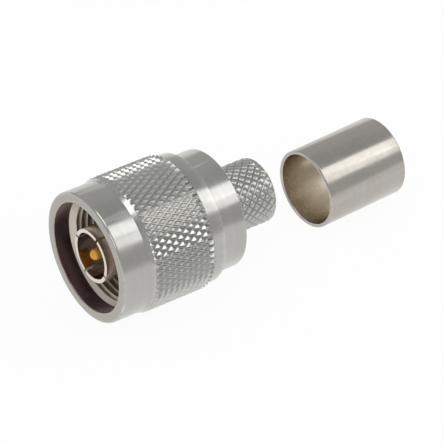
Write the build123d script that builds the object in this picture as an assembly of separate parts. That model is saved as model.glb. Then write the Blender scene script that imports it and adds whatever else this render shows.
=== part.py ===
from build123d import *

import os
from math import cos, pi, sin

# A straight N type cable plug, crimp fitting, with its loose crimp ferrule.
# Millimetres. +X runs along the plug's axis from the mouth towards the cable, +Z is up.
# x = 0 is the mating plane, at the tip of the outer contact, and the origin is on the axis.
# The plug lies on its knurled nut, so the surface under it is at z = -NUT_KNURL_R.

# Thread of the coupling nut: 5/8-24 UNEF, drawn at its minor diameter. The jack's threaded barrel
# goes into the room between the outer contact and this thread.
JACK_ROOM = 3.3
THREAD_LENGTH = 7.6
THREAD_RELIEF_DEPTH = 0.6
THREAD_RELIEF_LENGTH = 1.2
LEAD_IN_LENGTH = 0.7

# Coupling nut, in order from its front face
NUT_OVERHANG = 0.85
NUT_MOUTH_DEPTH = 2.6
NUT_MOUTH_STEP = 0.9
NUT_MOUTH_CHAMFER = 0.12
NUT_FRONT_RING_WALL = 1.6
NUT_FRONT_RING_LENGTH = 4.5
NUT_FRONT_ROUND = 0.4
NUT_KNURL_STAND = 0.4
NUT_KNURL_DEPTH = 0.45
NUT_KNURL_LENGTH = 10.89
NUT_KNURL_PITCHES = 11
NUT_KNURL_COUNT = 60
NUT_BAND_LENGTH = 2.06
NUT_REAR_RING_WALL = 2.0
NUT_REAR_RING_LENGTH = 4.26
NUT_REAR_ROUND = 0.2

# Outer contact: a slotted tube with a collar and a flange behind
CONTACT_BORE_R = 3.5
CONTACT_WALL = 0.6
CONTACT_TIP_CHAMFER = 0.1
CONTACT_COLLAR_STEP = 0.65
CONTACT_COLLAR_LENGTH = 0.7
CONTACT_FLANGE_STEP = 0.15
CONTACT_FLANGE_LENGTH = 1.9
CONTACT_SLOT_COUNT = 4
CONTACT_SLOT_WIDTH = 0.4
CONTACT_SLOT_LENGTH = 6.2
CONTACT_SLOT_TURN = 18

# Crimp body
SHOULDER_X = 10.1
SHOULDER_GAP_IN_THREAD = 0.45
SHOULDER_CHAMFER = 0.3
GUIDE_LAND_LENGTH = 10.1
GUIDE_LAND_CHAMFER = 0.4
INSULATOR_SEAT_STEP = 0.5
INSULATOR_SEAT_LENGTH = 5.0
CABLE_BORE_STEP = 0.7
CABLE_BORE_CHAMFER = 0.2
STEM_WALL = 1.25
STEM_KNURL_DEPTH = 0.35
STEM_KNURL_LENGTH = 8.84
STEM_KNURL_PITCHES = 13
STEM_KNURL_COUNT = 22
STEM_END_LENGTH = 0.4
STEM_END_CHAMFER = 0.3

# Retaining ring and its two grooves
RING_WIDTH = 0.9
RING_THICKNESS = 1.3
RING_BITE = 0.75
RING_SPLIT = 2.0
RING_SETBACK = 4.4
BODY_GROOVE_SIDE_GAP = 0.1
BODY_GROOVE_FLOOR_GAP = 0.1
NUT_GROOVE_SIDE_GAP = 0.3
NUT_GROOVE_ROOF_GAP = 0.15

# Gasket
GASKET_THICKNESS = 1.5
GASKET_BORE_GAP = 0.05
GASKET_INSET = 0.15

# Insulators and centre pin
FRONT_INSULATOR_NOSE = 5.0
FRONT_INSULATOR_FLANGE = 1.5
PIN_TIP_SETBACK = 0.05
PIN_TIP_R = 0.825
PIN_TIP_ROUND = 0.6
PIN_STEP_X = 5.3
PIN_STEP_LENGTH = 0.3
PIN_SHANK_R = 1.52
PIN_BARREL_R = 2.0
PIN_BARREL_SETBACK = 0.2
PIN_WIRE_BORE_R = 1.42
PIN_WIRE_BORE_DEPTH = 3.0
PIN_INSPECTION_HOLE_R = 0.4
PIN_INSPECTION_HOLE_SETBACK = 2.2

# Loose ferrule: lies on the same surface, a little to the side and turned a little. It is lifted
# by a hair, so that the nut takes the plug's weight and the ferrule none of it.
FERRULE_BRAID_GAP = 0.55
FERRULE_WALL = 0.57
FERRULE_LENGTH = 14.3
FERRULE_ROUND = 0.15
FERRULE_DISTANCE = 8.9
FERRULE_SIDE = 0.45
FERRULE_TURN = 3.1
FERRULE_LIFT = 0.1

# Fits
RUNNING_CLEARANCE = 0.05
PRESS_CLEARANCE = 0.01
RUNOUT_STEP = 0.04

# Radii worked out from the sizes
CONTACT_OUTER_R = CONTACT_BORE_R + CONTACT_WALL
THREAD_MINOR_R = CONTACT_OUTER_R + JACK_ROOM
SHOULDER_R = THREAD_MINOR_R - SHOULDER_GAP_IN_THREAD
NUT_MOUTH_R = THREAD_MINOR_R + NUT_MOUTH_STEP
NUT_FRONT_RING_R = NUT_MOUTH_R + NUT_FRONT_RING_WALL
NUT_KNURL_R = NUT_FRONT_RING_R + NUT_KNURL_STAND
NUT_BAND_R = NUT_KNURL_R - NUT_KNURL_DEPTH
NUT_BORE_R = SHOULDER_R + RUNNING_CLEARANCE
NUT_REAR_RING_R = NUT_BORE_R + NUT_REAR_RING_WALL
RING_INNER_R = SHOULDER_R - RING_BITE
RING_OUTER_R = RING_INNER_R + RING_THICKNESS
CONTACT_COLLAR_R = CONTACT_OUTER_R + CONTACT_COLLAR_STEP
CONTACT_FLANGE_R = CONTACT_COLLAR_R + CONTACT_FLANGE_STEP
INSULATOR_SEAT_R = CONTACT_FLANGE_R - INSULATOR_SEAT_STEP
CABLE_BORE_R = INSULATOR_SEAT_R - CABLE_BORE_STEP
STEM_R = CABLE_BORE_R + STEM_WALL
FERRULE_BORE_R = STEM_R + FERRULE_BRAID_GAP
FERRULE_R = FERRULE_BORE_R + FERRULE_WALL

# Places along the axis worked out from the sizes
NUT_FRONT_X = -NUT_OVERHANG
NUT_KNURL_X = NUT_FRONT_X + NUT_FRONT_RING_LENGTH
NUT_BAND_X = NUT_KNURL_X + NUT_KNURL_LENGTH
NUT_REAR_RING_X = NUT_BAND_X + NUT_BAND_LENGTH
NUT_REAR_X = NUT_REAR_RING_X + NUT_REAR_RING_LENGTH
SEAT_X = SHOULDER_X + CONTACT_FLANGE_LENGTH
BEAD_END_X = SEAT_X + INSULATOR_SEAT_LENGTH
GUIDE_LAND_X = SHOULDER_X + GUIDE_LAND_LENGTH
STEM_KNURL_END_X = GUIDE_LAND_X + STEM_KNURL_LENGTH
STEM_END_X = STEM_KNURL_END_X + STEM_END_LENGTH
RING_X = SHOULDER_X + RING_SETBACK
FERRULE_X = STEM_END_X + FERRULE_DISTANCE
FERRULE_Z = FERRULE_R + FERRULE_LIFT - NUT_KNURL_R


def turned(points, rounds=()):
    """A solid of revolution about the plug's axis from (x, radius) points, with some corners rounded."""
    outline = make_face(Polyline(*points, close=True))
    for spot, radius in rounds:
        corner = outline.vertices().sort_by_distance((*spot, 0))[0]
        outline = fillet(corner, radius)
    return revolve(Plane.XZ * outline, Axis.X).solid()


def on_cylinder(x, radius, turn):
    return (x, -radius * sin(turn), radius * cos(turn))


def knurl_facets(start_x, length, pitches, count, crest_r, valley_r, front_r, rear_r):
    """The planar facets of a diamond knurl, as faces, and its two end outlines.

    Crests and valley crossings alternate round each row, and the rows are one pitch apart.
    The first and last rows hold no crests: there the grooves run out at front_r and rear_r.
    """
    pitch = length / pitches
    half_turn = pi / count
    spans = 2 * count

    def point(row, step):
        if row == 0:
            radius = front_r
        elif row == pitches:
            radius = rear_r
        elif (row + step) % 2:
            radius = crest_r
        else:
            radius = valley_r
        return on_cylinder(start_x + row * pitch, radius, step * half_turn)

    triangles = []
    for row in range(1, pitches):
        for step in range(spans):
            if (row + step) % 2:
                corners = [(row - 1, step), (row, step + 1), (row + 1, step), (row, step - 1)]
                for here, there in zip(corners, corners[1:] + corners[:1]):
                    triangles.append((point(row, step), point(*here), point(*there)))
    for end, beside in ((0, 1), (pitches, pitches - 1)):
        for step in range(spans):
            if (beside + step) % 2:
                triangles.append((point(end, step), point(end, step + 2), point(beside, step + 1)))
    faces = [Face(Wire.make_polygon(corners, close=True)) for corners in triangles]
    ends = []
    for end, beside in ((0, 1), (pitches, pitches - 1)):
        steps = [step for step in range(spans) if (beside + step) % 2]
        ends.append(Wire.make_polygon([point(end, step) for step in steps], close=True))
    return faces, ends


def ring_of(x, radius):
    return Wire.make_circle(radius, Plane(origin=(x, 0, 0), x_dir=(0, 0, 1), z_dir=(1, 0, 0)))


def knurled(blank, start_x, end_x, core_r, facets, ends, shoulders):
    """The turned blank with the plain core between start_x and end_x replaced by a knurl.

    shoulders gives, for each end, the turned radius that meets the knurl there and whether it is
    outside the knurl's outline.
    """
    kept = []
    for face in blank.faces():
        box = face.bounding_box()
        on_core = box.min.X > start_x - 0.001 and box.max.X < end_x + 0.001 and box.max.Z < core_r + 0.001
        at_end = any(abs(box.min.X - x) + abs(box.max.X - x) < 0.001 for x in (start_x, end_x))
        outer = box.max.Z > core_r - 0.001
        if not (outer and (on_core or at_end)):
            kept.append(face)
    for x, outline, (radius, turned_outside) in zip((start_x, end_x), ends, shoulders):
        circle = ring_of(x, radius)
        kept.append(Face(circle, [outline]) if turned_outside else Face(outline, [circle]))
    return Solid(Shell(kept + facets))


def coupling_nut():
    core_r = NUT_KNURL_R - 2 * NUT_KNURL_DEPTH
    lead_in_x = NUT_FRONT_X + NUT_MOUTH_DEPTH
    thread_x = lead_in_x + LEAD_IN_LENGTH
    relief_x = thread_x + THREAD_LENGTH
    relief_r = THREAD_MINOR_R + THREAD_RELIEF_DEPTH
    bore_x = relief_x + THREAD_RELIEF_LENGTH
    groove_front_x = RING_X - NUT_GROOVE_SIDE_GAP
    groove_rear_x = RING_X + RING_WIDTH + NUT_GROOVE_SIDE_GAP
    groove_r = RING_OUTER_R + NUT_GROOVE_ROOF_GAP
    outside = [
        (NUT_FRONT_X, NUT_FRONT_RING_R),
        (NUT_KNURL_X, NUT_FRONT_RING_R),
        (NUT_KNURL_X, core_r),
        (NUT_BAND_X, core_r),
        (NUT_BAND_X, NUT_BAND_R),
        (NUT_REAR_RING_X, NUT_BAND_R),
        (NUT_REAR_RING_X, NUT_REAR_RING_R),
        (NUT_REAR_X, NUT_REAR_RING_R),
    ]
    inside = [
        (NUT_REAR_X, NUT_BORE_R),
        (groove_rear_x, NUT_BORE_R),
        (groove_rear_x, groove_r),
        (groove_front_x, groove_r),
        (groove_front_x, NUT_BORE_R),
        (bore_x, NUT_BORE_R),
        (bore_x, relief_r),
        (relief_x, relief_r),
        (relief_x, THREAD_MINOR_R),
        (thread_x, THREAD_MINOR_R),
        (lead_in_x, NUT_MOUTH_R),
        (NUT_FRONT_X + NUT_MOUTH_CHAMFER, NUT_MOUTH_R),
        (NUT_FRONT_X, NUT_MOUTH_R + NUT_MOUTH_CHAMFER),
    ]
    rounds = [
        ((NUT_FRONT_X, NUT_FRONT_RING_R), NUT_FRONT_ROUND),
        ((NUT_REAR_X, NUT_REAR_RING_R), NUT_REAR_ROUND),
    ]
    blank = turned(outside + inside, rounds)
    # The plain band behind the knurl is turned down to the floor of its grooves.
    facets, ends = knurl_facets(
        NUT_KNURL_X, NUT_KNURL_LENGTH, NUT_KNURL_PITCHES, NUT_KNURL_COUNT,
        NUT_KNURL_R, NUT_BAND_R, min(NUT_BAND_R, NUT_FRONT_RING_R - RUNOUT_STEP), NUT_BAND_R - RUNOUT_STEP,
    )
    shoulders = [(NUT_FRONT_RING_R, True), (NUT_BAND_R, True)]
    return knurled(blank, NUT_KNURL_X, NUT_BAND_X, core_r, facets, ends, shoulders)


def outer_contact():
    collar_x = SHOULDER_X - CONTACT_COLLAR_LENGTH
    tube = turned([
        (0, CONTACT_OUTER_R),
        (collar_x, CONTACT_OUTER_R),
        (collar_x, CONTACT_COLLAR_R),
        (SHOULDER_X, CONTACT_COLLAR_R),
        (SHOULDER_X, CONTACT_FLANGE_R),
        (SEAT_X, CONTACT_FLANGE_R),
        (SEAT_X, CONTACT_BORE_R),
        (CONTACT_TIP_CHAMFER, CONTACT_BORE_R),
        (0, CONTACT_BORE_R + CONTACT_TIP_CHAMFER),
    ])
    # The cutter is as long again in front of the tip, and reaches from the axis past the tube's outside.
    cutter = Box(2 * CONTACT_SLOT_LENGTH, CONTACT_SLOT_WIDTH, CONTACT_COLLAR_R)
    slot = Pos(0, 0, CONTACT_COLLAR_R / 2) * cutter
    for k in range(CONTACT_SLOT_COUNT):
        tube -= Rot(X=CONTACT_SLOT_TURN + k * 360 / CONTACT_SLOT_COUNT) * slot
    return tube.solid()


def crimp_body():
    core_r = STEM_R - 2 * STEM_KNURL_DEPTH
    valley_r = STEM_R - STEM_KNURL_DEPTH
    end_r = valley_r - 2 * RUNOUT_STEP
    groove_front_x = RING_X - BODY_GROOVE_SIDE_GAP
    groove_rear_x = RING_X + RING_WIDTH + BODY_GROOVE_SIDE_GAP
    groove_r = RING_INNER_R - BODY_GROOVE_FLOOR_GAP
    blank = turned([
        (SHOULDER_X, SHOULDER_R - SHOULDER_CHAMFER),
        (SHOULDER_X + SHOULDER_CHAMFER, SHOULDER_R),
        (groove_front_x, SHOULDER_R),
        (groove_front_x, groove_r),
        (groove_rear_x, groove_r),
        (groove_rear_x, SHOULDER_R),
        (GUIDE_LAND_X - GUIDE_LAND_CHAMFER, SHOULDER_R),
        (GUIDE_LAND_X, SHOULDER_R - GUIDE_LAND_CHAMFER),
        (GUIDE_LAND_X, core_r),
        (STEM_KNURL_END_X, core_r),
        (STEM_KNURL_END_X, end_r),
        (STEM_END_X - STEM_END_CHAMFER, end_r),
        (STEM_END_X, end_r - STEM_END_CHAMFER),
        (STEM_END_X, CABLE_BORE_R + CABLE_BORE_CHAMFER),
        (STEM_END_X - CABLE_BORE_CHAMFER, CABLE_BORE_R),
        (BEAD_END_X, CABLE_BORE_R),
        (BEAD_END_X, INSULATOR_SEAT_R),
        (SEAT_X, INSULATOR_SEAT_R),
        (SEAT_X, CONTACT_FLANGE_R + PRESS_CLEARANCE),
        (SHOULDER_X, CONTACT_FLANGE_R + PRESS_CLEARANCE),
    ])
    facets, ends = knurl_facets(
        GUIDE_LAND_X, STEM_KNURL_LENGTH, STEM_KNURL_PITCHES, STEM_KNURL_COUNT,
        STEM_R, valley_r, valley_r, valley_r,
    )
    shoulders = [(SHOULDER_R - GUIDE_LAND_CHAMFER, True), (end_r, False)]
    return knurled(blank, GUIDE_LAND_X, STEM_KNURL_END_X, core_r, facets, ends, shoulders)


def retaining_ring():
    ring = turned([
        (RING_X, RING_INNER_R),
        (RING_X, RING_OUTER_R),
        (RING_X + RING_WIDTH, RING_OUTER_R),
        (RING_X + RING_WIDTH, RING_INNER_R),
    ])
    split = Pos(RING_X + RING_WIDTH / 2, 0, RING_OUTER_R) * Box(2 * RING_WIDTH, RING_SPLIT, 2 * RING_OUTER_R)
    return (ring - split).solid()


def gasket():
    inner_r = CONTACT_COLLAR_R + GASKET_BORE_GAP
    outer_r = SHOULDER_R - GASKET_INSET
    front_x = SHOULDER_X - GASKET_THICKNESS
    return turned([
        (front_x, inner_r),
        (front_x, outer_r),
        (SHOULDER_X, outer_r),
        (SHOULDER_X, inner_r),
    ])


def front_insulator():
    nose_r = CONTACT_BORE_R - PRESS_CLEARANCE
    flange_r = INSULATOR_SEAT_R - PRESS_CLEARANCE
    bore_r = PIN_SHANK_R + PRESS_CLEARANCE
    nose_x = SEAT_X - FRONT_INSULATOR_NOSE
    flange_end_x = SEAT_X + FRONT_INSULATOR_FLANGE
    return turned([
        (nose_x, bore_r),
        (nose_x, nose_r),
        (SEAT_X, nose_r),
        (SEAT_X, flange_r),
        (flange_end_x, flange_r),
        (flange_end_x, bore_r),
    ])


def rear_insulator():
    outer_r = INSULATOR_SEAT_R - PRESS_CLEARANCE
    bore_r = PIN_BARREL_R + PRESS_CLEARANCE
    front_x = SEAT_X + FRONT_INSULATOR_FLANGE
    return turned([
        (front_x, bore_r),
        (front_x, outer_r),
        (BEAD_END_X, outer_r),
        (BEAD_END_X, bore_r),
    ])


def centre_pin():
    barrel_x = SEAT_X + FRONT_INSULATOR_FLANGE
    end_x = BEAD_END_X - PIN_BARREL_SETBACK
    wire_stop_x = end_x - PIN_WIRE_BORE_DEPTH
    pin = turned([
        (PIN_TIP_SETBACK, 0),
        (PIN_TIP_SETBACK, PIN_TIP_R),
        (PIN_STEP_X, PIN_TIP_R),
        (PIN_STEP_X + PIN_STEP_LENGTH, PIN_SHANK_R),
        (barrel_x, PIN_SHANK_R),
        (barrel_x, PIN_BARREL_R),
        (end_x, PIN_BARREL_R),
        (end_x, PIN_WIRE_BORE_R),
        (wire_stop_x, PIN_WIRE_BORE_R),
        (wire_stop_x, 0),
    ], [((PIN_TIP_SETBACK, PIN_TIP_R), PIN_TIP_ROUND)])
    # The inspection hole goes through the barrel's upper wall only.
    drill = Cylinder(PIN_INSPECTION_HOLE_R, PIN_BARREL_R)
    return (pin - Pos(end_x - PIN_INSPECTION_HOLE_SETBACK, 0, PIN_BARREL_R) * drill).solid()


def crimp_ferrule():
    tube = turned([
        (0, FERRULE_BORE_R),
        (0, FERRULE_R),
        (FERRULE_LENGTH, FERRULE_R),
        (FERRULE_LENGTH, FERRULE_BORE_R),
    ], [((x, r), FERRULE_ROUND) for x in (0, FERRULE_LENGTH) for r in (FERRULE_BORE_R, FERRULE_R)])
    middle = FERRULE_LENGTH / 2
    place = Pos(FERRULE_X + middle, FERRULE_SIDE, FERRULE_Z) * Rot(Z=FERRULE_TURN) * Pos(-middle, 0, 0)
    return place * tube


PIECES = {
    "coupling_nut": coupling_nut,
    "outer_contact": outer_contact,
    "crimp_body": crimp_body,
    "retaining_ring": retaining_ring,
    "gasket": gasket,
    "front_insulator": front_insulator,
    "rear_insulator": rear_insulator,
    "centre_pin": centre_pin,
    "crimp_ferrule": crimp_ferrule,
}

os.makedirs("parts", exist_ok=True)
for name, make in PIECES.items():
    export_step(make(), f"parts/{name}.step")
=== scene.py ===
from math import cos, hypot, pi, radians, sin

import bmesh
import bpy
import numpy as np
from bpy.props import FloatProperty, FloatVectorProperty, IntProperty, PointerProperty
from mathutils import Matrix, Vector


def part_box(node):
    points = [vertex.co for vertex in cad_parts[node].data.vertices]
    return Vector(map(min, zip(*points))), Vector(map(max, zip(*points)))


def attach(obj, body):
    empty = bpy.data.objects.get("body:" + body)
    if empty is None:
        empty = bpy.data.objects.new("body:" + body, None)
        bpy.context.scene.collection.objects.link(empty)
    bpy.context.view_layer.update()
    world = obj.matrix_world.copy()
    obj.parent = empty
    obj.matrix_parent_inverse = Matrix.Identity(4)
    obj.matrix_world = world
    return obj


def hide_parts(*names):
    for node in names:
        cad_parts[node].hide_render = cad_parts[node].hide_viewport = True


# A straight N type cable plug, crimp fitting, with its loose crimp ferrule.
# The frame's +X runs along the plug's axis from the mouth to the cable, +Z is up, and x = 0 is the
# mating plane at the tip of the outer contact.
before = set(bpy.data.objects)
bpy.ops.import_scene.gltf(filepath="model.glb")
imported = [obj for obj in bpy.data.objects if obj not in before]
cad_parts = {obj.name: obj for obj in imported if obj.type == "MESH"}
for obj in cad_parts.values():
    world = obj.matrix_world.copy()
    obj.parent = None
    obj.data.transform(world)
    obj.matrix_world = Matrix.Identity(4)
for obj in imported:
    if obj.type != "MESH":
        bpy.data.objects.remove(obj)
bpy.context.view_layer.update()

bl_info = {
    "name": "N type plug",
    "version": (1, 0, 0),
    "blender": (4, 5, 0),
    "location": "3D View > Sidebar > N plug",
    "description": "Models a crimped coaxial plug, its ferrule and its studio",
    "category": "Add Mesh",
}

MM = 0.001
CLOSE = 0.0005 * MM
TURN_STEPS = 120
PIN_STEPS = 72
FERRULE_STEPS = 144
THREAD_STEPS = 84

# Room between two parts of a piece for the faces that join them
BRIDGE_ROOM = 0.06 * MM

# Rounds of the small edges
BRUSHED, FINE, SMALL, PLAIN, WIDE = (size * MM for size in (0.05, 0.06, 0.08, 0.1, 0.12))

# Shares of the surface effects, and how much they add to the roughness
BROAD_SHADE = 0.9
WORN_SHARE = 0.6
# How far the hollows are darkened: painted shade, with grime
HOLLOW_SHADE_AND_GRIME_SHARE = 0.45
SPECK_SHARE = 0.5
RING_DULLING = 0.1
SMUDGE_DULLING = 0.07
GRIME_DULLING = 0.2
PLASTIC_DULLING = 0.12
DING_HEIGHT = 0.8
FILM_FADE = 0.5 * MM

# The studio's floor and dome
FLOOR_GLOW = 0.95
HORIZON_FADE = (0.02, 0.1)
OVERHEAD_FADE = (0.55, 0.9)

# The softboxes: name, direction from the point that they light, distance, (width, height), radiance
LIT_POINT = Vector((0.025, 0, 0))
SOFTBOXES = (
    ("key_softbox", (0.474, -0.317, 0.821), 0.5, (0.42, 0.18), 1.5),
    ("lower_softbox", (0.474, -0.589, 0.654), 0.5, (0.42, 0.14), 1.1),
    ("top_softbox", (-0.165, 0.103, 0.981), 0.5, (0.26, 0.24), 1.9),
    ("left_softbox", (-0.75, -0.35, 0.56), 0.55, (0.22, 0.16), 1.6),
)

nut_low, nut_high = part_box("coupling_nut")
contact_low, contact_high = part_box("outer_contact")
body_low, body_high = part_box("crimp_body")
pin_low, pin_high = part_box("centre_pin")
gasket_low, gasket_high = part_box("gasket")
front_bead_low, front_bead_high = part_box("front_insulator")
rear_bead_low, rear_bead_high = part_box("rear_insulator")
ferrule_low, ferrule_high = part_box("crimp_ferrule")


def length(name, description, millimetres):
    default = millimetres * MM
    return FloatProperty(name=name, description=description, default=default, unit="LENGTH", precision=5)


def angle(name, description, degrees):
    return FloatProperty(name=name, description=description, default=radians(degrees), unit="ROTATION")


def colour(name, description, default):
    return FloatVectorProperty(
        name=name, description=description, default=default, subtype="COLOR", min=0, max=1,
    )


def count(name, description, default):
    return IntProperty(name=name, description=description, default=default, min=1)


class NutSizes(bpy.types.PropertyGroup):
    front_ring_length: length("Front ring", "Length of the plain ring round the mouth", 4.5)
    front_ring_r: length("Front ring radius", "Outside radius of the front ring", 9.9)
    mouth_r: length("Mouth radius", "Radius of the counterbore in front of the thread", 8.3)
    mouth_depth: length("Mouth depth", "From the front face to the thread's lead-in", 2.6)
    mouth_chamfer: length("Mouth chamfer", "Bevel at the mouth's front edge", 0.12)
    lead_in: length("Lead-in", "Length of the bevel that starts the thread", 0.7)
    thread_pitch: length("Thread pitch", "24 threads to the inch", 25.4 / 24)
    thread_crest_r: length("Thread crest radius", "Minor radius of the 5/8-24 thread", 7.4)
    thread_root_r: length("Thread root radius", "Major radius of the 5/8-24 thread", 7.95)
    thread_length: length("Thread length", "Length of full thread", 7.6)
    relief_r: length("Relief radius", "Radius of the relief behind the thread", 8.0)
    relief_length: length("Relief length", "Length of the relief behind the thread", 1.2)
    bore_r: length("Bore radius", "Radius of the bore that runs on the body", 7.0)
    groove_r: length("Groove radius", "Radius of the retaining ring's groove", 7.65)
    groove_front: length("Groove place", "Front wall of the retaining ring's groove", 14.2)
    groove_width: length("Groove width", "Width of the retaining ring's groove", 1.5)
    knurl_length: length("Knurl length", "Length of the knurled band with its run-outs", 10.89)
    knurl_rows: count("Knurl rows", "Half diamonds along the band", 11)
    knurl_count: count("Knurl count", "Diamonds round the band", 60)
    knurl_depth: length("Knurl depth", "From the crests to the flanks' foot", 0.41)
    knurl_floor: length("Knurl floor", "Height of the grooves' floors over that foot", 0.05)
    front_slope: length("Front slope", "Slope from the front ring up to the crests", 1.2)
    groove_lead: length("Groove lead", "Length of that slope in front of the grooves", 0.72)
    rear_slope: length("Rear slope", "Bevel at the crests' rear end", 0.06)
    band_r: length("Band radius", "Radius of the plain band behind the knurl", 9.85)
    band_length: length("Band length", "Length of the plain band behind the knurl", 2.06)
    band_round: length("Band round", "Round of the band's rear edge", 0.1)
    rear_ring_r: length("Rear ring radius", "Outside radius of the rear ring", 9.0)
    rear_round: length("Rear round", "Round of the rear edge", 0.2)
    bore_round: length("Bore round", "Round of the bore's rear edge", 0.15)
    relief_round: length("Relief round", "Round of the relief's rear corner", 0.2)
    front_round: length("Front round", "Round of the front edge", 0.4)


class ContactSizes(bpy.types.PropertyGroup):
    bore_r: length("Bore radius", "Bore of the outer contact", 3.5)
    outer_r: length("Outer radius", "Outside of the slotted tube", 4.1)
    tip_chamfer: length("Tip chamfer", "Inner bevel at the tip", 0.06)
    collar_r: length("Collar radius", "Collar that carries the gasket", 4.75)
    collar_length: length("Collar length", "Length of the collar", 0.7)
    flange_length: length("Flange length", "Length pressed into the body", 1.9)
    slot_count: count("Slots", "Slots round the tube", 4)
    slot_width: length("Slot width", "Width of a slot", 0.4)
    slot_length: length("Slot length", "Length of a slot from the tip", 6.2)
    slot_bevel: length("Slot bevel", "Bevel along the slots' edges", 0.035)
    slot_turn: angle("Slot turn", "First slot's turn from the top, towards the front", 18)
    pin_tip_r: length("Pin tip radius", "Radius of the pin's thin end", 0.825)
    pin_step: length("Pin step", "Where the pin gets thick", 5.3)
    pin_step_length: length("Pin step length", "Length of the pin's bevel", 0.3)
    pin_shank_r: length("Pin shank radius", "Radius of the pin's thick part", 1.52)
    pin_round: length("Pin round", "Round of the pin's tip", 0.78)
    wire_bore_r: length("Wire bore radius", "Bore for the inner conductor", 1.42)
    wire_bore_depth: length("Wire bore depth", "Depth of that bore", 3.0)
    inspection_r: length("Inspection hole radius", "Solder hole in the pin's barrel", 0.4)
    inspection_setback: length("Inspection hole setback", "From the barrel's end to the solder hole", 2.2)


class BodySizes(bpy.types.PropertyGroup):
    shoulder_r: length("Shoulder radius", "Radius that the nut runs on", 6.95)
    shoulder_chamfer: length("Shoulder chamfer", "Bevel at the front edge", 0.3)
    land_end: length("Land end", "Where the land ends and the stem starts", 20.2)
    land_chamfer: length("Land chamfer", "Bevel at the land's rear edge", 0.4)
    groove_r: length("Groove radius", "Floor of the retaining ring's groove", 6.1)
    groove_front: length("Groove place", "Front wall of the groove", 14.4)
    groove_width: length("Groove width", "Width of the groove", 1.1)
    flange_seat_r: length("Flange seat radius", "Seat of the outer contact's flange", 4.91)
    bead_seat_r: length("Insulator seat radius", "Seat of the insulators", 4.4)
    bead_seat_end: length("Insulator seat end", "Where the insulators' seat ends", 17.0)
    cable_bore_r: length("Cable bore radius", "Bore through the crimp stem", 3.7)
    cable_chamfer: length("Cable bore chamfer", "Bevel at the cable end", 0.2)
    stem_r: length("Stem radius", "Over the crests of the knurled stem", 4.95)
    stem_rows: count("Stem knurl rows", "Half diamonds along the stem", 13)
    stem_count: count("Stem knurl count", "Diamonds round the stem", 22)
    stem_knurl_length: length("Stem knurl length", "Length of the stem's knurl", 8.84)
    stem_knurl_depth: length("Stem knurl depth", "From the crests to the flanks' foot", 0.19)
    stem_end_r: length("Stem end radius", "Radius of the plain end behind the knurl", 4.52)
    stem_runout: length("Stem run-out", "Bevel at each end of the knurl", 0.42)
    stem_end_chamfer: length("Stem end chamfer", "Bevel at the stem's end", 0.3)


class FerruleSizes(bpy.types.PropertyGroup):
    bore_r: length("Bore radius", "Inside of the ferrule", 5.5)
    outer_r: length("Outer radius", "Outside of the ferrule", 6.07)
    tube_length: length("Length", "Length of the ferrule", 14.3)
    rim_round: length("Rim round", "Round of the four rim edges", 0.15)
    turn: angle("Turn", "Turn out of line with the plug", 3.1)


class Finishes(bpy.types.PropertyGroup):
    nickel: colour("Nickel", "Nickel plate on the nut and body", (0.47, 0.465, 0.44))
    nickel_worn: colour("Worn nickel", "Nickel at rubbed edges and crests", (0.68, 0.675, 0.64))
    # Painted shade and grime for the knurls' valleys and other hollows, also the colour of the dust specks
    nickel_grime: colour("Grime", "Dirt in the knurls' valleys", (0.2, 0.2, 0.18))
    # Painted shade: a darker, warmer tone on the nut's front face
    front_face: colour("Front face", "Handled nickel on the nut's front face", (0.415, 0.395, 0.35))
    # Tint of thin plate and oil, deepened with painted shade in the mouth's recess
    mouth_film: colour("Mouth film", "Thin plate and oil on the counterbore's wall", (0.33, 0.25, 0.28))
    thread: colour("Thread", "Thin plate over brass on the thread", (0.62, 0.57, 0.49))
    contact: colour("Contact nickel", "Plate on the outer contact", (0.84, 0.74, 0.65))
    contact_bore: colour("Contact bore", "Plate in the outer contact's bore", (0.66, 0.56, 0.52))
    gold: colour("Gold", "Gold plate on the centre pin", (1.0, 0.6, 0.12))
    ferrule: colour("Ferrule nickel", "Satin nickel on the ferrule", (0.46, 0.43, 0.393))
    ferrule_inside: colour("Ferrule inside", "Thin plate over brass inside the ferrule", (0.66, 0.6, 0.51))
    ptfe: colour("PTFE", "White insulators", (0.8, 0.8, 0.77))
    silicone: colour("Silicone", "Red-brown gasket", (0.3, 0.05, 0.03))
    bronze: colour("Spring bronze", "Retaining ring", (0.5, 0.3, 0.14))
    floor: colour("Floor", "Studio floor", (0.9, 0.9, 0.9))
    horizon: colour("Horizon", "Pale wall low behind the object", (0.66, 0.66, 0.66))
    surround: colour("Surround", "Studio walls, seen only in the metal", (0.6, 0.6, 0.6))
    overhead: colour("Overhead", "Studio ceiling, seen only in the metal", (0.49, 0.505, 0.505))


class StudioSizes(bpy.types.PropertyGroup):
    azimuth: angle("Azimuth", "Camera's turn about the upright, 0 looks along +Y", -38.29)
    elevation: angle("Elevation", "Camera's height over the floor", 40.11)
    roll: angle("Roll", "Camera's tilt about its own view", 4.72)
    distance: length("Distance", "From the camera to its target", 475.4)
    target_x: length("Target along", "The camera's target, along the axis", 23.106)
    target_z: length("Target height", "The camera's target, over the axis", -3.723)
    focal: FloatProperty(name="Focal length", description="Lens in millimetres", default=264.6)
    floor_size: length("Floor size", "Side of the floor", 6000)


def deselect():
    bpy.ops.object.select_all(action="DESELECT")


def select_only(active, *others):
    deselect()
    for piece in (active, *others):
        piece.select_set(True)
    bpy.context.view_layer.objects.active = active


def start_edit(piece):
    select_only(piece)
    bpy.ops.object.mode_set(mode="EDIT")


def end_edit():
    bpy.ops.object.mode_set(mode="OBJECT")


def select_mesh():
    bpy.ops.mesh.select_all(action="SELECT")


def extrude(step):
    bpy.ops.mesh.extrude_region_move(TRANSFORM_OT_translate={"value": step})


def merge_doubles():
    select_mesh()
    bpy.ops.mesh.remove_doubles(threshold=CLOSE)


def cut(place, normal, **cleared):
    """Cuts the whole piece being edited at a plane."""
    select_mesh()
    bpy.ops.mesh.bisect(plane_co=place, plane_no=normal, threshold=CLOSE, **cleared)


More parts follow.
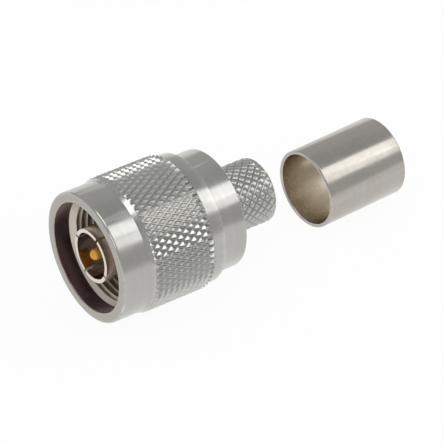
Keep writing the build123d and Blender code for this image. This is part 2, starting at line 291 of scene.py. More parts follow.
def pick(piece, kind, test):
    """Selects the vertices, edges or faces that the test is true for, in edit mode."""
    bpy.ops.mesh.select_mode(type={"verts": "VERT", "edges": "EDGE", "faces": "FACE"}[kind])
    bpy.ops.mesh.select_all(action="DESELECT")
    shape = bmesh.from_edit_mesh(piece.data)
    for item in getattr(shape, kind):
        if test(item):
            item.select_set(True)
    bmesh.update_edit_mesh(piece.data)


def radius_of(point):
    return hypot(point.y, point.z)


def start_point(name):
    """A new piece with one vertex at the origin, in edit mode."""
    deselect()
    bpy.ops.mesh.primitive_plane_add(size=MM)
    piece = bpy.context.object
    piece.name = piece.data.name = name
    bpy.ops.object.mode_set(mode="EDIT")
    bpy.ops.mesh.select_mode(type="VERT")
    select_mesh()
    bpy.ops.mesh.merge(type="CENTER")
    return piece


def turned(name, outline, rounds=(), closed=True, steps=TURN_STEPS):
    """Extrudes one vertex along (x, radius) points, rounds some corners and spins the line about the axis.

    Each round is (x, radius of the corner, radius of the round, segments).
    """
    piece = start_point(name)
    x, r = outline[0]
    bpy.ops.transform.translate(value=(x, 0, r))
    for next_x, next_r in outline[1:]:
        extrude((next_x - x, 0, next_r - r))
        x, r = next_x, next_r
    if closed:
        ends = [Vector((px, 0, pr)) for px, pr in (outline[0], outline[-1])]
        pick(piece, "verts", lambda v: min((v.co - end).length for end in ends) < CLOSE)
        bpy.ops.mesh.edge_face_add()
    for corner_x, corner_r, size, segments in rounds:
        corner = Vector((corner_x, 0, corner_r))
        pick(piece, "verts", lambda v: (v.co - corner).length < CLOSE)
        bpy.ops.mesh.bevel(offset=size, segments=segments, affect="VERTICES")
    select_mesh()
    bpy.ops.mesh.spin(steps=steps, angle=2 * pi, center=(0, 0, 0), axis=(1, 0, 0))
    point_outwards()
    end_edit()
    return piece


def point_outwards():
    """Merges doubled vertices and turns the faces of the piece being edited outwards."""
    merge_doubles()
    bpy.ops.mesh.normals_make_consistent(inside=False)
    shape = bmesh.from_edit_mesh(bpy.context.object.data)
    if shape.calc_volume(signed=True) < 0:
        bpy.ops.mesh.flip_normals()


def apply_modifier(piece, kind, **values):
    select_only(piece)
    modifier = piece.modifiers.new(kind.title(), kind)
    for name, value in values.items():
        setattr(modifier, name, value)
    bpy.ops.object.modifier_apply(modifier=modifier.name)


def cut_away(piece, cutter):
    apply_modifier(piece, "BOOLEAN", operation="DIFFERENCE", object=cutter, solver="EXACT")
    bpy.data.objects.remove(cutter)


def join(first, *others):
    select_only(first, *others)
    bpy.ops.object.join()
    return first


def bridge(piece, first, second):
    """Joins two open rings, each (x, radius), or (x, largest radius, smallest radius) if not round."""
    def on_ring(edge):
        if not edge.is_boundary:
            return False
        for x, high, *low in (first, second):
            radii = [radius_of(v.co) for v in edge.verts if abs(v.co.x - x) < CLOSE]
            if len(radii) == 2 and min([high, *low]) - CLOSE < min(radii) and max(radii) < high + CLOSE:
                return True
        return False

    start_edit(piece)
    pick(piece, "edges", on_ring)
    bpy.ops.mesh.bridge_edge_loops()
    end_edit()


def keep_between(low_x, high_x):
    """Cuts the piece being edited at two upright planes and keeps what is between."""
    cut((low_x, 0, 0), (1, 0, 0), clear_inner=True)
    cut((high_x, 0, 0), (1, 0, 0), clear_outer=True)


def knurled(name, start, row, rows, number, crest_r, depth, top, edge, trims, ends, fills=()):
    """A band of diamonds, modelled flat from one, trimmed by sloping planes and wrapped round the axis.

    A diamond is two rows long, its flat top is the share "top" of its foot, and its edges are rounded.
    Each fill and trim is (x, radius, x, radius), the plane through both. Grooves under a fill are
    raised to it, and then crests above a trim are lowered to it.
    """
    half = pi * crest_r / number
    deselect()
    bpy.ops.mesh.primitive_plane_add(size=2 ** 0.5, rotation=(0, 0, pi / 4))
    piece = bpy.context.object
    piece.name = piece.data.name = name
    bpy.ops.object.transform_apply(rotation=True)
    start_edit(piece)
    select_mesh()
    bpy.ops.transform.resize(value=(row, half, 1))
    extrude((0, 0, depth))
    bpy.ops.transform.resize(value=(top, top, 1))
    bpy.ops.mesh.bevel(offset=edge, segments=2, affect="EDGES")
    pick(piece, "faces", lambda f: all(abs(v.co.z) < CLOSE for v in f.verts))
    bpy.ops.mesh.delete(type="ONLY_FACE")
    select_mesh()
    bpy.ops.transform.translate(value=(start - row, 0, crest_r - depth))
    bpy.ops.mesh.duplicate_move(TRANSFORM_OT_translate={"value": (row, half, 0)})
    end_edit()
    for copies, step in ((number, (0, 2 * half, 0)), (rows // 2 + 2, (2 * row, 0, 0))):
        apply_modifier(piece, "ARRAY", count=copies, use_relative_offset=False, use_constant_offset=True,
                       constant_offset_displace=step)
    start_edit(piece)
    merge_doubles()
    for x0, r0, x1, r1 in (*fills, *trims):
        cut((x0, 0, r0), (r0 - r1, 0, x1 - x0))
    for x0, *_ in fills:
        cut((x0, 0, 0), (1, 0, 0))
    keep_between(*ends)
    end_edit()
    points = np.empty(len(piece.data.vertices) * 3)
    piece.data.vertices.foreach_get("co", points)
    x, around, radius = points.reshape(-1, 3).T
    for planes, pushed in ((fills, np.maximum), (trims, np.minimum)):
        for x0, r0, x1, r1 in planes:
            radius = pushed(radius, r0 + (x - x0) * (r1 - r0) / (x1 - x0))
    turn = around / crest_r
    wrapped = np.stack([x, -radius * np.sin(turn), radius * np.cos(turn)], 1)
    piece.data.vertices.foreach_set("co", wrapped.ravel())
    start_edit(piece)
    merge_doubles()
    end_edit()
    return piece


def finish_piece(piece, body, slot, material, *nodes, smooth=28):
    """Points the faces outwards, smooths edges under that angle, and gives body and material. The slot is
    not used.
    """
    start_edit(piece)
    point_outwards()
    end_edit()
    bpy.ops.object.shade_smooth_by_angle(angle=radians(smooth))
    piece.data.materials.clear()
    piece.data.materials.append(material)
    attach(piece, body)
    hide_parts(*nodes)


def feed(socket, value):
    """Links the input to the value if that is another node's socket, and otherwise sets it."""
    if isinstance(value, bpy.types.NodeSocket):
        socket.id_data.links.new(value, socket)
    else:
        socket.default_value = value


def node(tree, kind, fed=None, **settings):
    """A shader node with these settings. What its inputs are fed is given by their names or numbers."""
    item = tree.nodes.new("ShaderNode" + kind)
    for name, value in settings.items():
        setattr(item, name, value)
    for name, value in (fed or {}).items():
        feed(item.inputs[name], value)
    return item


def math(tree, operation, *values, clamp=False):
    return node(tree, "Math", dict(enumerate(values)), operation=operation, use_clamp=clamp).outputs[0]


def stepped(tree, value, low, high, out_low=0, out_high=1):
    """The value mapped from low..high to out_low..out_high, held at both ends."""
    fed = {"Value": value, "From Min": low, "From Max": high, "To Min": out_low, "To Max": out_high}
    return node(tree, "MapRange", fed, interpolation_type="SMOOTHSTEP").outputs["Result"]


def noise(tree, vector, scale, detail, roughness=0.5):
    fed = {"Vector": vector, "Scale": scale, "Detail": detail, "Roughness": roughness}
    return node(tree, "TexNoise", fed).outputs["Fac"]


def mixed(tree, mask, *colours):
    """Two colours mixed by a mask. Each is a socket or a constant colour."""
    first, second = (c if isinstance(c, bpy.types.NodeSocket) else (*c, 1) for c in colours)
    return node(tree, "Mix", {"Factor": mask, 6: first, 7: second}, data_type="RGBA").outputs[2]


def new_group(group_name, number, default, outputs):
    """A node group that takes a vector and one number. Returns its tree, its inputs and its outputs."""
    tree = bpy.data.node_groups.new(group_name, "ShaderNodeTree")
    tree.interface.new_socket("Vector", in_out="INPUT", socket_type="NodeSocketVector")
    tree.interface.new_socket(number, in_out="INPUT", socket_type="NodeSocketFloat").default_value = default
    for name in outputs:
        tree.interface.new_socket(name, in_out="OUTPUT", socket_type="NodeSocketFloat")
    return tree, tree.nodes.new("NodeGroupInput").outputs, tree.nodes.new("NodeGroupOutput").inputs


def turning_lines():
    """Fine rings that a lathe leaves, even along a cylinder and across a face."""
    tree, given, result = new_group("turning_lines", "Lines per metre", 9000.0, ("Radius", "Fine", "Broad"))
    lines, streaks_per_metre, broad_scale = given["Lines per metre"], 60, 0.18
    x, y, z = node(tree, "SeparateXYZ", {0: given["Vector"]}).outputs
    squares = [math(tree, "MULTIPLY", side, side) for side in (y, z)]
    radius = math(tree, "SQRT", math(tree, "ADD", *squares))
    rings = node(tree, "CombineXYZ", {
        "X": math(tree, "MULTIPLY", x, lines),
        "Y": math(tree, "MULTIPLY", radius, lines),
        "Z": math(tree, "MULTIPLY", z, streaks_per_metre),
    }).outputs[0]
    feed(result["Radius"], radius)
    feed(result["Fine"], noise(tree, rings, 1, detail=2))
    feed(result["Broad"], noise(tree, rings, broad_scale, detail=1))
    return tree


def handling():
    """Smudges, fine specks and faint dings from handling."""
    tree, given, result = new_group("handling", "Speck share", 0.1, ("Smudge", "Specks", "Dings"))
    vector, smudge_scale, speck_scale, ding_scale = given["Vector"], 260, 3200, 900
    smudge_edge, speck_edge = (0.42, 0.68), (0.05, 0.18)
    smudge = noise(tree, vector, smudge_scale, detail=4, roughness=0.6)
    feed(result["Smudge"], stepped(tree, smudge, *smudge_edge))
    dots = node(tree, "TexVoronoi", {"Vector": vector, "Scale": speck_scale}).outputs
    near = stepped(tree, dots["Distance"], *speck_edge, 1, 0)
    chance = node(tree, "SeparateColor", {0: dots["Color"]}).outputs[0]
    few = math(tree, "LESS_THAN", chance, given["Speck share"])
    feed(result["Specks"], math(tree, "MULTIPLY", near, few))
    feed(result["Dings"], noise(tree, vector, ding_scale, detail=2))
    return tree


def worn_edges():
    """Rubbed outer edges, and grime with painted shade in the hollows, from how the surface turns."""
    tree, given, result = new_group("worn_edges", "Spread", 0.06, ("Edges", "Hollows"))
    # Pointiness is 0.5 where the surface is flat, more at edges and less in hollows
    flat, edge_start, hollow_start, hollow_full = 0.5, 0.505, 0.42, 0.38
    wander, wander_scale = 0.04, 1500
    shape = node(tree, "NewGeometry").outputs["Pointiness"]
    uneven = noise(tree, given["Vector"], wander_scale, detail=2)
    bent = math(tree, "ADD", shape, math(tree, "MULTIPLY_ADD", uneven, wander, -wander / 2))
    high = math(tree, "ADD", given["Spread"], flat)
    low = math(tree, "SUBTRACT", hollow_full, given["Spread"])
    feed(result["Edges"], stepped(tree, bent, edge_start, high))
    feed(result["Hollows"], stepped(tree, bent, low, hollow_start, 1, 0))
    return tree


def effect(tree, make, vector):
    """The outputs of a node group that all materials share. It is made when first used."""
    group = bpy.data.node_groups.get(make.__name__) or make()
    return node(tree, "Group", {"Vector": vector}, node_tree=group).outputs


def dimmed(tone, share):
    """The colour times the share, and never over 1."""
    return tuple(min(1, share * c) for c in tone)


def new_material(name, constants):
    """A material with one Principled shader. Returns it with its tree, shader and Object coordinates."""
    material = bpy.data.materials.new(name)
    material.use_nodes = True
    tree = material.node_tree
    shader = tree.nodes["Principled BSDF"]
    for socket, value in constants.items():
        shader.inputs[socket].default_value = value
    return material, tree, shader, node(tree, "TexCoord").outputs["Object"]


def bump(tree, shader, height, distance):
    relief = node(tree, "Bump", {"Distance": distance, "Height": height})
    feed(shader.inputs["Normal"], relief.outputs["Normal"])


def turned_metal(name, colours, rough, line_depth, films=(), film_end=None, place_at=None):
    """Plated turned metal: base, worn and dark colours (the dark one painted shade and grime), with lathe
    rings, smudges, specks and worn edges.

    Each film is (colour, starting radius, full radius, roughness that it adds), laid over the ones
    before it, and ends at film_end along the axis.
    place_at is the (centre, turn) of a piece that doesn't lie on the axis.
    """
    base, worn, shade_and_dirt = colours
    material, tree, shader, place = new_material(name, {"Metallic": 1.0})
    if place_at:
        centre, turn = place_at
        fed = {"Vector": place, "Location": centre, "Rotation": (0, 0, turn)}
        place = node(tree, "Mapping", fed, vector_type="TEXTURE").outputs["Vector"]
    rings = effect(tree, turning_lines, place)
    marks = effect(tree, handling, place)
    edges = effect(tree, worn_edges, place)
    tone = mixed(tree, rings["Broad"], dimmed(base, BROAD_SHADE), base)
    tone = mixed(tree, math(tree, "MULTIPLY", edges["Edges"], WORN_SHARE), tone, worn)
    # Painted shade: the hollows are darkened towards the dark colour, which also stands for grime there
    tone = mixed(tree, math(tree, "MULTIPLY", edges["Hollows"], HOLLOW_SHADE_AND_GRIME_SHARE), tone, shade_and_dirt)
    polish = math(tree, "MULTIPLY_ADD", rings["Fine"], RING_DULLING, rough - RING_DULLING / 2)
    polish = math(tree, "MULTIPLY_ADD", marks["Smudge"], SMUDGE_DULLING, polish)
    polish = math(tree, "MULTIPLY_ADD", edges["Hollows"], GRIME_DULLING, polish)
    if film_end:
        x = node(tree, "SeparateXYZ", {0: place}).outputs["X"]
        in_front = stepped(tree, x, film_end, film_end + FILM_FADE, 1, 0)
    for film, start, full, dulling in films:
        covered = stepped(tree, rings["Radius"], full, start, 1, 0)
        if film_end:
            covered = math(tree, "MULTIPLY", covered, in_front)
        tone = mixed(tree, covered, tone, film)
        polish = math(tree, "MULTIPLY_ADD", covered, dulling, polish, clamp=True)
    tone = mixed(tree, math(tree, "MULTIPLY", marks["Specks"], SPECK_SHARE), tone, shade_and_dirt)
    feed(shader.inputs["Base Color"], tone)
    feed(shader.inputs["Roughness"], polish)
    bump(tree, shader, math(tree, "MULTIPLY_ADD", marks["Dings"], DING_HEIGHT, rings["Fine"]), line_depth)
    return material


def nut_nickel(finishes, nut, film_end):
    """Bright nickel, a duller front face with painted shade, a film with painted shade on the mouth's wall
    and thin plate on the thread.
    """
    mouth_r, rim_r = nut.mouth_r, nut.front_ring_r
    return turned_metal(
        "nut_nickel", (finishes.nickel, finishes.nickel_worn, finishes.nickel_grime),
        rough=0.17, line_depth=0.003 * MM,
        # The front face's darker tone is painted shade, and the face is duller
        films=[(finishes.front_face, rim_r - 0.2 * MM, rim_r - 0.5 * MM, 0.04),
               # The mouth wall's film is plating tint with painted shade
               (finishes.mouth_film, mouth_r + 0.06 * MM, mouth_r + 0.02 * MM, 0),
               (finishes.thread, mouth_r - 0.02 * MM, mouth_r - 0.06 * MM, 0.18)],
        film_end=film_end,
    )


class PLUG_OT_coupling_nut(bpy.types.Operator):
    """Model the knurled coupling nut with its thread"""
    bl_idname = "plug.coupling_nut"
    bl_label = "Coupling nut"

    def execute(self, context):
        nut = context.scene.plug_nut
        front, rear = nut_low.x, nut_high.x
        crest_r = nut_high.z
        hairline = 0.03 * MM
        row = nut.knurl_length / nut.knurl_rows
        knurl_x = front + nut.front_ring_length
        floor_r = crest_r - nut.knurl_depth + nut.knurl_floor
        rise = (crest_r - nut.front_ring_r) / nut.front_slope
        groove_x = knurl_x + nut.groove_lead
        groove_end_x = groove_x + 0.1 * MM
        groove_top_r = nut.front_ring_r + rise * nut.groove_lead
        slope_start = knurl_x + hairline
        slope_start_r = nut.front_ring_r + rise * hairline
        plain_x = knurl_x + nut.knurl_length
        plain_start_r = nut.band_r - hairline
        ring_x = plain_x + nut.band_length
        band = knurled(
            "coupling_nut_dressed", knurl_x, row, nut.knurl_rows, nut.knurl_count, crest_r, nut.knurl_depth,
            top=0.2, edge=0.055 * MM, ends=(slope_start, plain_x),
            fills=[(knurl_x, floor_r, plain_x, floor_r), (groove_x, groove_top_r, groove_end_x, floor_r)],
            trims=[(slope_start, slope_start_r, knurl_x + nut.front_slope, crest_r),
                   (plain_x - nut.rear_slope, crest_r, plain_x, plain_start_r)],
        )
        relief_x = front + nut.mouth_depth + nut.lead_in + nut.thread_length
        relief_end = relief_x + nut.relief_length
        groove_end = nut.groove_front + nut.groove_width
        after = turned("nut_rear", [
            (plain_x + hairline, nut.band_r), (ring_x, nut.band_r), (ring_x, nut.rear_ring_r),
            (rear, nut.rear_ring_r), (rear, nut.bore_r), (groove_end, nut.bore_r),
            (groove_end, nut.groove_r), (nut.groove_front, nut.groove_r), (nut.groove_front, nut.bore_r),
            (relief_end, nut.bore_r), (relief_end, nut.relief_r), (relief_x, nut.relief_r),
        ], [
            (rear, nut.rear_ring_r, nut.rear_round, 6),
            (ring_x, nut.band_r, nut.band_round, 4),
            (ring_x, nut.rear_ring_r, SMALL, 3),
            (rear, nut.bore_r, nut.bore_round, 2),
            (relief_end, nut.relief_r, nut.relief_round, 3),
        ], closed=False)
        lead_x = front + nut.mouth_depth
        fall = (nut.mouth_r - nut.thread_crest_r) / nut.lead_in
        thread_start = lead_x + (nut.mouth_r - nut.relief_r) / fall
        before = turned("nut_front", [
            (lead_x, nut.mouth_r),
            (front + nut.mouth_chamfer, nut.mouth_r),
            (front, nut.mouth_r + nut.mouth_chamfer),
            (front, nut.front_ring_r),
            (knurl_x, nut.front_ring_r),
        ], [
            (front, nut.front_ring_r, nut.front_round, 8),
            (front, nut.mouth_r + nut.mouth_chamfer, BRUSHED, 3),
            (front + nut.mouth_chamfer, nut.mouth_r, BRUSHED, 3),
        ], closed=False)
        thread_end = relief_x - BRIDGE_ROOM
        thread = self.thread(nut, thread_start, thread_end, lead_x, fall)
        whole = join(band, after, before, thread)
        bridge(whole, (plain_x, plain_start_r), (plain_x + hairline, nut.band_r))
        bridge(whole, (slope_start, slope_start_r), (knurl_x, nut.front_ring_r))
        bridge(whole, (thread_start, nut.relief_r, 0), (lead_x, nut.mouth_r))
        bridge(whole, (thread_end, nut.thread_root_r, 0), (relief_x, nut.relief_r))
        material = nut_nickel(context.scene.plug_finishes, nut, relief_end)
        finish_piece(whole, "nut", "nut_nickel", material, "coupling_nut", smooth=16)
        return {"FINISHED"}

    def thread(self, nut, start, end, lead_x, fall):
        """The right-hand thread as one tube, opened out to the lead-in's cone at its start."""
        crest = nut.thread_pitch / 4
        root = nut.thread_pitch / 8
        flank = (nut.thread_pitch - crest - root) / 2
        piece = start_point("nut_thread")
        x = start - 1.5 * nut.thread_pitch
        r = nut.thread_crest_r
        bpy.ops.transform.translate(value=(x, 0, r))
        depth = nut.thread_root_r - r
        for along, out in ((crest, 0), (flank, depth), (root, 0), (flank, -depth)):
            extrude((along, 0, out))
        select_mesh()
        bpy.ops.mesh.subdivide(number_cuts=2)
        end_edit()
        turns = int((end - x) / nut.thread_pitch) + 2
        apply_modifier(piece, "SCREW", axis="X", screw_offset=nut.thread_pitch, angle=2 * pi,
                       iterations=turns, steps=THREAD_STEPS, render_steps=THREAD_STEPS)
        start_edit(piece)
        merge_doubles()
        keep_between(start, end)
        end_edit()
        for v in piece.data.vertices:
            lead_r = nut.mouth_r - fall * (v.co.x - lead_x)
            r = radius_of(v.co)
            if r < lead_r:
                v.co.y *= lead_r / r
                v.co.z *= lead_r / r
        return piece


class PLUG_OT_outer_contact(bpy.types.Operator):
    """Model the slotted outer contact"""
    bl_idname = "plug.outer_contact"
    bl_label = "Outer contact"

    def execute(self, context):
        contact = context.scene.plug_contact
        tip, end = contact_low.x, contact_high.x
        shoulder = end - contact.flange_length
        collar = shoulder - contact.collar_length
        flange_r = contact_high.z
        tube = turned("outer_contact_dressed", [
            (tip, contact.outer_r), (collar, contact.outer_r), (collar, contact.collar_r),
            (shoulder, contact.collar_r), (shoulder, flange_r), (end, flange_r), (end, contact.bore_r),
            (tip + contact.tip_chamfer, contact.bore_r), (tip, contact.bore_r + contact.tip_chamfer),
        ], [
            (tip, contact.outer_r, FINE, 3),
            (collar, contact.collar_r, SMALL, 2),
            (end, flange_r, PLAIN, 2),
        ])
        for k in range(contact.slot_count):
            turn = contact.slot_turn + k * 2 * pi / contact.slot_count
            self.cut_slot(tube, contact, tip, turn)
        apply_modifier(tube, "BEVEL", width=contact.slot_bevel, segments=2, limit_method="ANGLE",
                       angle_limit=radians(50))
        finishes = context.scene.plug_finishes
        bore_r = contact.bore_r
        material = turned_metal(
            "contact_nickel", (finishes.contact, finishes.nickel_worn, finishes.nickel_grime),
            rough=0.22, line_depth=0.002 * MM,
            films=[(finishes.contact_bore, bore_r + 0.05 * MM, bore_r + 0.01 * MM, -0.14)],
        )
        finish_piece(tube, "connector", "contact_nickel", material, "outer_contact")
        return {"FINISHED"}

    def cut_slot(self, tube, contact, tip, turn):
        deselect()
        bpy.ops.mesh.primitive_cube_add(size=1)
        cutter = bpy.context.object
        cutter.scale = (2 * contact.slot_length, contact.slot_width, contact.collar_r)
        cutter.location = (tip, 0, contact.collar_r / 2)
        bpy.ops.object.transform_apply(location=True, scale=True)
        cutter.rotation_euler = (turn, 0, 0)
        bpy.ops.object.transform_apply(rotation=True)
        cut_away(tube, cutter)


class PLUG_OT_centre_pin(bpy.types.Operator):
    """Model the gold centre pin"""
    bl_idname = "plug.centre_pin"
    bl_label = "Centre pin"

    def execute(self, context):
        contact = context.scene.plug_contact
        tip, end = pin_low.x, pin_high.x
        barrel_r = pin_high.z
        barrel = front_bead_high.x
        stop = end - contact.wire_bore_depth
        step_end = contact.pin_step + contact.pin_step_length
        pin = turned("centre_pin_dressed", [
            (tip, 0), (tip, contact.pin_tip_r), (contact.pin_step, contact.pin_tip_r),
            (step_end, contact.pin_shank_r), (barrel, contact.pin_shank_r), (barrel, barrel_r),
            (end, barrel_r), (end, contact.wire_bore_r), (stop, contact.wire_bore_r), (stop, 0),
        ], [
            (tip, contact.pin_tip_r, contact.pin_round, 8),
            (contact.pin_step, contact.pin_tip_r, PLAIN, 3),
            (step_end, contact.pin_shank_r, WIDE, 3),
            (barrel, barrel_r, SMALL, 2),
            (end, barrel_r, PLAIN, 2),
            (end, contact.wire_bore_r, FINE, 2),
        ], closed=False, steps=PIN_STEPS)
        deselect()
        bpy.ops.mesh.primitive_cylinder_add(
            vertices=32, radius=contact.inspection_r, depth=barrel_r,
            location=(end - contact.inspection_setback, 0, barrel_r),
        )
        cut_away(pin, context.object)
        gold = context.scene.plug_finishes.gold
        tip_r = contact.pin_tip_r
        material = turned_metal(
            "gold", (gold, dimmed(gold, 1.15), dimmed(gold, 0.35)), rough=0.62, line_depth=0.012 * MM,
            films=[(dimmed(gold, 0.75), 0.95 * tip_r, 0.6 * tip_r, 0)], film_end=tip + tip_r,
        )
        finish_piece(pin, "connector", "gold", material, "centre_pin")
        return {"FINISHED"}


class PLUG_OT_insulators(bpy.types.Operator):
    """Model the two PTFE insulators and the silicone gasket"""
    bl_idname = "plug.insulators"
    bl_label = "Insulators and gasket"

    def execute(self, context):
        contact, body = context.scene.plug_contact, context.scene.plug_body
        finishes = context.scene.plug_finishes
        gap, seal_gap, edge, seal_round = 0.01 * MM, 0.05 * MM, 0.15 * MM, 0.3 * MM
        seat = contact_high.x
        flange_r = body.bead_seat_r - gap
        x, end = front_bead_low.x, front_bead_high.x
        inner_r, outer_r = contact.pin_shank_r + gap, contact.bore_r - gap
        front = turned(
            "front_insulator_dressed",
            [(x, inner_r), (x, outer_r), (seat, outer_r), (seat, flange_r), (end, flange_r), (end, inner_r)],
            [(x, outer_r, edge, 3), (x, inner_r, edge, 3), (seat, flange_r, edge, 2)],
        )
        x, end, inner_r = rear_bead_low.x, rear_bead_high.x, pin_high.z + gap
        rear = turned(
            "rear_insulator_dressed", [(x, inner_r), (x, flange_r), (end, flange_r), (end, inner_r)],
            [(end, flange_r, edge, 3), (end, inner_r, edge, 3)],
        )
        white = self.plastic("ptfe", finishes.ptfe, rough=0.45, scale=1800, depth=0.006 * MM)
        for piece, name in ((front, "front_insulator"), (rear, "rear_insulator")):
            finish_piece(piece, "connector", "ptfe", white, name)
        x, end = gasket_low.x, gasket_high.x
        inner_r, outer_r = contact.collar_r + seal_gap, gasket_high.z
        seal = turned(
            "gasket_dressed", [(x, inner_r), (x, outer_r), (end, outer_r), (end, inner_r)],
            [(place, r, seal_round, 4) for place in (x, end) for r in (inner_r, outer_r)],
        )
        red = self.plastic("silicone", finishes.silicone, rough=0.5, scale=2600, depth=0.01 * MM)
        finish_piece(seal, "connector", "silicone", red, "gasket")
        return {"FINISHED"}

    def plastic(self, name, base, rough, scale, depth):
        """A moulded or skived plastic with a soft mottle, faint grain and specks of dust."""
        material, tree, shader, place = new_material(name, {"IOR": 1.4})
        marks = effect(tree, handling, place)
        rings = effect(tree, turning_lines, place)
        grain = noise(tree, place, scale, detail=4)
        tone = mixed(tree, grain, dimmed(base, 0.82), base)
        dusty = tuple(0.6 * c + 0.15 for c in base)
        tone = mixed(tree, math(tree, "MULTIPLY", marks["Specks"], SPECK_SHARE), tone, dusty)
        polish = math(tree, "MULTIPLY_ADD", marks["Smudge"], PLASTIC_DULLING, rough)
        feed(shader.inputs["Base Color"], tone)
        feed(shader.inputs["Roughness"], polish)
        bump(tree, shader, math(tree, "ADD", grain, rings["Fine"]), depth)
        return material


class PLUG_OT_crimp_body(bpy.types.Operator):
    """Model the body with its knurled crimp stem, and finish the retaining ring in its groove"""
    bl_idname = "plug.crimp_body"
    bl_label = "Crimp body"

    def execute(self, context):
        body = context.scene.plug_body
        front, end = body_low.x, body_high.x
        row = body.stem_knurl_length / body.stem_rows
        knurl_end = body.land_end + body.stem_knurl_length
        undercut, foot_fillet = 0.03 * MM, 0.1 * MM
        foot_r = body.stem_r - body.stem_knurl_depth - undercut
        band_start = body.land_end + foot_fillet
        band = knurled(
            "crimp_body_dressed", body.land_end, row, body.stem_rows, body.stem_count, body.stem_r,
            body.stem_knurl_depth, top=0.45, edge=FINE, ends=(band_start, knurl_end),
            trims=[(band_start, foot_r, band_start + body.stem_runout, body.stem_r),
                   (knurl_end, foot_r, knurl_end - body.stem_runout, body.stem_r)],
        )
        end_r = body.stem_end_r
        lip = knurl_end + BRIDGE_ROOM
        groove_end = body.groove_front + body.groove_width
        seat = contact_high.x
        rest = turned("body_turned", [
            (lip, end_r), (end - body.stem_end_chamfer, end_r), (end, end_r - body.stem_end_chamfer),
            (end, body.cable_bore_r + body.cable_chamfer), (end - body.cable_chamfer, body.cable_bore_r),
            (body.bead_seat_end, body.cable_bore_r), (body.bead_seat_end, body.bead_seat_r),
            (seat, body.bead_seat_r), (seat, body.flange_seat_r), (front, body.flange_seat_r),
            (front, body.shoulder_r - body.shoulder_chamfer),
            (front + body.shoulder_chamfer, body.shoulder_r), (body.groove_front, body.shoulder_r),
            (body.groove_front, body.groove_r), (groove_end, body.groove_r),
            (groove_end, body.shoulder_r), (body.land_end - body.land_chamfer, body.shoulder_r),
            (body.land_end, body.shoulder_r - body.land_chamfer), (body.land_end, foot_r + foot_fillet),
        ], [
            (end - body.stem_end_chamfer, end_r, WIDE, 3),
            (end, end_r - body.stem_end_chamfer, PLAIN, 3),
            (end, body.cable_bore_r + body.cable_chamfer, BRUSHED, 2),
        ], closed=False)
        whole = join(band, rest)
        bridge(whole, (knurl_end, foot_r, 0), (lip, end_r))
        bridge(whole, (band_start, foot_r, 0), (body.land_end, foot_r + foot_fillet))
        finishes = context.scene.plug_finishes
        nickel = (dimmed(finishes.nickel, 0.8), finishes.nickel_worn, finishes.nickel_grime)
        material = turned_metal("body_nickel", nickel, rough=0.24, line_depth=0.003 * MM)
        finish_piece(whole, "connector", "body_nickel", material, "crimp_body", smooth=40)
        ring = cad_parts["retaining_ring"]
        bronze = (finishes.bronze, finishes.bronze, dimmed(finishes.bronze, 0.5))
        ring.data.materials.clear()
        ring.data.materials.append(turned_metal("spring_bronze", bronze, rough=0.35, line_depth=0.004 * MM))
        return {"FINISHED"}


class PLUG_OT_crimp_ferrule(bpy.types.Operator):
    """Model the loose crimp ferrule"""
    bl_idname = "plug.crimp_ferrule"
    bl_label = "Crimp ferrule"

    def execute(self, context):
        sizes = context.scene.plug_ferrule
        centre = (ferrule_low + ferrule_high) / 2
        half = sizes.tube_length / 2
        rims = [(x, r, sizes.rim_round, 4) for x in (-half, half) for r in (sizes.bore_r, sizes.outer_r)]
        tube = turned("crimp_ferrule_dressed", [
            (-half, sizes.bore_r), (-half, sizes.outer_r), (half, sizes.outer_r), (half, sizes.bore_r),
        ], rims, steps=FERRULE_STEPS)
        tube.rotation_euler.z = sizes.turn
        tube.location = centre
        select_only(tube)
        bpy.ops.object.transform_apply(location=True, rotation=True)
        finishes = context.scene.plug_finishes
        nickel = (finishes.ferrule, dimmed(finishes.ferrule, 1.2), dimmed(finishes.ferrule, 0.35))
        material = turned_metal(
            "ferrule_nickel", nickel, rough=0.18, line_depth=0.002 * MM, place_at=(centre, sizes.turn),
            films=[(finishes.ferrule_inside, sizes.bore_r + 0.12 * MM, sizes.bore_r + 0.02 * MM, 0.07)],
        )
        finish_piece(tube, "connector", "ferrule_nickel", material, "crimp_ferrule")
        return {"FINISHED"}


def placed(x_axis, y_axis, z_axis, place):
    """The matrix of an object that stands at the place with these axes."""
    return Matrix(((*x_axis, 0), (*y_axis, 0), (*z_axis, 0), (*place, 1))).transposed()


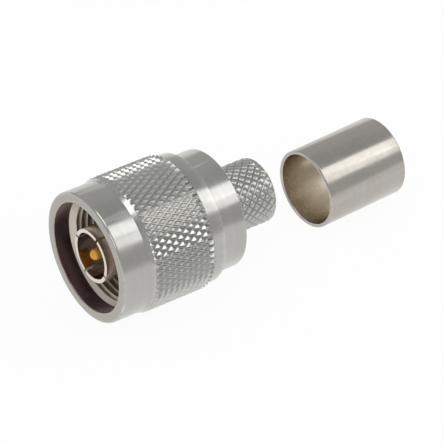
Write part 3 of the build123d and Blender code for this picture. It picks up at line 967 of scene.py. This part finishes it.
class PLUG_OT_studio(bpy.types.Operator):
    """Set up the floor, the lamps, the world and the camera"""
    bl_idname = "plug.studio"
    bl_label = "Studio"

    def execute(self, context):
        studio = context.scene.plug_studio
        self.floor(context, studio)
        self.world(context)
        for lamp in SOFTBOXES:
            self.softbox(*lamp)
        self.camera(context, studio)
        return {"FINISHED"}

    def floor(self, context, studio):
        deselect()
        bpy.ops.mesh.primitive_plane_add(size=studio.floor_size, location=(0, 0, nut_low.z))
        floor = context.object
        floor.name = "studio_floor"
        bpy.ops.object.transform_apply(location=True)
        material = bpy.data.materials.new("studio_white")
        material.use_nodes = True
        tree = material.node_tree
        tree.nodes.clear()
        paper = node(tree, "BsdfDiffuse", {"Color": (*context.scene.plug_finishes.floor, 1)})
        rays = node(tree, "LightPath").outputs
        seen = math(tree, "ADD", rays["Is Camera Ray"], rays["Is Glossy Ray"], clamp=True)
        seen = math(tree, "ADD", seen, rays["Is Transmission Ray"], clamp=True)
        glow = math(tree, "MULTIPLY", seen, FLOOR_GLOW)
        white = node(tree, "Emission")
        blend = node(tree, "MixShader", {0: glow, 1: paper.outputs[0], 2: white.outputs[0]})
        node(tree, "OutputMaterial", {"Surface": blend.outputs[0]})
        floor.data.materials.append(material)

    def world(self, context):
        """A studio dome: pale at the horizon, grey overhead."""
        world = bpy.data.worlds.new("studio_world")
        context.scene.world = world
        world.use_nodes = True
        tree = world.node_tree
        direction = node(tree, "TexCoord").outputs["Generated"]
        height = node(tree, "SeparateXYZ", {0: direction}).outputs["Z"]
        finishes = context.scene.plug_finishes
        tone = mixed(tree, stepped(tree, height, *HORIZON_FADE), finishes.horizon, finishes.surround)
        tone = mixed(tree, stepped(tree, height, *OVERHEAD_FADE), tone, finishes.overhead)
        feed(tree.nodes["Background"].inputs["Color"], tone)

    def softbox(self, name, toward, distance, size, radiance):
        """A lamp that reads as a bright panel of that radiance in the metal. Its size is (wide, tall)."""
        direction = Vector(toward).normalized()
        lamp = bpy.data.lights.new(name, "AREA")
        lamp.shape = "RECTANGLE"
        lamp.size, lamp.size_y = size
        lamp.energy = radiance * pi * size[0] * size[1]
        holder = bpy.data.objects.new(name, lamp)
        bpy.context.scene.collection.objects.link(holder)
        wide = Vector((1, 0, 0)).cross(direction).cross(direction).normalized()
        tall = direction.cross(wide)
        holder.matrix_world = placed(wide, tall, direction, LIT_POINT + direction * distance)

    def camera(self, context, studio):
        lens = bpy.data.cameras.new("studio_camera")
        lens.lens = studio.focal
        lens.sensor_width = 36
        lens.clip_start = 0.01
        camera = bpy.data.objects.new("studio_camera", lens)
        context.scene.collection.objects.link(camera)
        back = Vector((
            sin(studio.azimuth) * cos(studio.elevation),
            -cos(studio.azimuth) * cos(studio.elevation),
            sin(studio.elevation),
        ))
        level = Vector((0, 0, 1)).cross(back).normalized()
        upright = back.cross(level)
        right = level * cos(studio.roll) + upright * sin(studio.roll)
        up = upright * cos(studio.roll) - level * sin(studio.roll)
        place = Vector((studio.target_x, 0, studio.target_z)) + back * studio.distance
        camera.matrix_world = placed(right, up, back, place)
        context.scene.camera = camera
        context.scene.view_settings.view_transform = "Standard"


class PLUG_PT_panel(bpy.types.Panel):
    """Lists the plug's pieces and their sizes"""
    bl_idname = "PLUG_PT_panel"
    bl_label = "N type plug"
    bl_space_type = "VIEW_3D"
    bl_region_type = "UI"
    bl_category = "N plug"

    def draw(self, context):
        for operator, group in PIECES:
            box = self.layout.box()
            box.operator(operator.bl_idname)
            if group:
                sizes = getattr(context.scene, group)
                for name in sizes.bl_rna.properties.keys():
                    if name not in ("name", "rna_type"):
                        box.prop(sizes, name)


GROUPS = {
    "plug_nut": NutSizes,
    "plug_contact": ContactSizes,
    "plug_body": BodySizes,
    "plug_ferrule": FerruleSizes,
    "plug_finishes": Finishes,
    "plug_studio": StudioSizes,
}
PIECES = (
    (PLUG_OT_coupling_nut, "plug_nut"),
    (PLUG_OT_outer_contact, "plug_contact"),
    (PLUG_OT_centre_pin, None),
    (PLUG_OT_insulators, None),
    (PLUG_OT_crimp_body, "plug_body"),
    (PLUG_OT_crimp_ferrule, "plug_ferrule"),
    (PLUG_OT_studio, "plug_studio"),
)


def register():
    for name, kind in GROUPS.items():
        bpy.utils.register_class(kind)
        setattr(bpy.types.Scene, name, PointerProperty(type=kind))
    for operator, _ in PIECES:
        bpy.utils.register_class(operator)
    bpy.utils.register_class(PLUG_PT_panel)


def unregister():
    bpy.utils.unregister_class(PLUG_PT_panel)
    for operator, _ in PIECES:
        bpy.utils.unregister_class(operator)
    for name, kind in GROUPS.items():
        delattr(bpy.types.Scene, name)
        bpy.utils.unregister_class(kind)


def main():
    register()
    bpy.ops.plug.coupling_nut()
    bpy.ops.plug.outer_contact()
    bpy.ops.plug.centre_pin()
    bpy.ops.plug.insulators()
    bpy.ops.plug.crimp_body()
    bpy.ops.plug.crimp_ferrule()
    bpy.ops.plug.studio()


if __name__ == "__main__":
    main()
